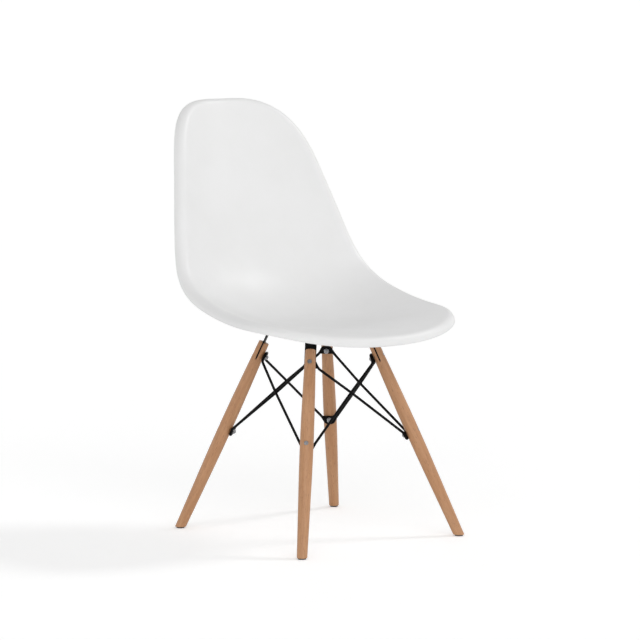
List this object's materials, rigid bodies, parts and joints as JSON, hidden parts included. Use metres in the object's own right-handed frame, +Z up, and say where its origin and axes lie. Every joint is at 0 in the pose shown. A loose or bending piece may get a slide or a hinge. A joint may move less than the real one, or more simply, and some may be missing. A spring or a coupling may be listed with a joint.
{
  "type": "dining chair",
  "caption": "Dining chair: white moulded plastic shell on slotted beech legs, tied by black steel brackets and crossed bent-rod braces.",
  "frame": {"origin": "floor level, under the middle of the chair's bounding box", "axes": "+Z up, the sitter looks along -Y, +X is the sitter's left"},
  "size_m": [0.4747, 0.5571, 0.8205],
  "materials": {
    "white_shell": "fine satin, moulded polypropylene",
    "beech": "fine straight-grained beech under clear matt lacquer",
    "black_steel": "satin black powder coat",
    "zinc_plate": "bright zinc plate",
    "brass_insert": "plain turned brass",
    "black_rubber": "matt",
    "dark_glide": "matt nylon"
  },
  "bodies": {
    "root": {"brace_loop_one": "black_steel", "brace_loop_two": "black_steel", "front_left_bracket": "black_steel", "front_left_glide": "dark_glide", "front_left_insert": "brass_insert", "front_left_leg": "beech", "front_left_lower_bolt": "zinc_plate", "front_left_lower_nut": "zinc_plate", "front_left_lower_tab": "black_steel", "front_left_pad": "black_rubber", "front_left_seat_bolt": "zinc_plate", "front_left_seat_washer": "zinc_plate", "front_left_upper_bolt": "zinc_plate", "front_left_upper_nut": "zinc_plate", "front_left_upper_tab": "black_steel", "front_right_bracket": "black_steel", "front_right_glide": "dark_glide", "front_right_insert": "brass_insert", "front_right_leg": "beech", "front_right_lower_bolt": "zinc_plate", "front_right_lower_nut": "zinc_plate", "front_right_lower_tab": "black_steel", "front_right_pad": "black_rubber", "front_right_seat_bolt": "zinc_plate", "front_right_seat_washer": "zinc_plate", "front_right_upper_bolt": "zinc_plate", "front_right_upper_nut": "zinc_plate", "front_right_upper_tab": "black_steel", "rear_left_bracket": "black_steel", "rear_left_glide": "dark_glide", "rear_left_insert": "brass_insert", "rear_left_leg": "beech", "rear_left_lower_bolt": "zinc_plate", "rear_left_lower_nut": "zinc_plate", "rear_left_lower_tab": "black_steel", "rear_left_pad": "black_rubber", "rear_left_seat_bolt": "zinc_plate", "rear_left_seat_washer": "zinc_plate", "rear_left_upper_bolt": "zinc_plate", "rear_left_upper_nut": "zinc_plate", "rear_left_upper_tab": "black_steel", "rear_right_bracket": "black_steel", "rear_right_glide": "dark_glide", "rear_right_insert": "brass_insert", "rear_right_leg": "beech", "rear_right_lower_bolt": "zinc_plate", "rear_right_lower_nut": "zinc_plate", "rear_right_lower_tab": "black_steel", "rear_right_pad": "black_rubber", "rear_right_seat_bolt": "zinc_plate", "rear_right_seat_washer": "zinc_plate", "rear_right_upper_bolt": "zinc_plate", "rear_right_upper_nut": "zinc_plate", "rear_right_upper_tab": "black_steel", "seat_shell": "white_shell"}
  },
  "joints": []
}
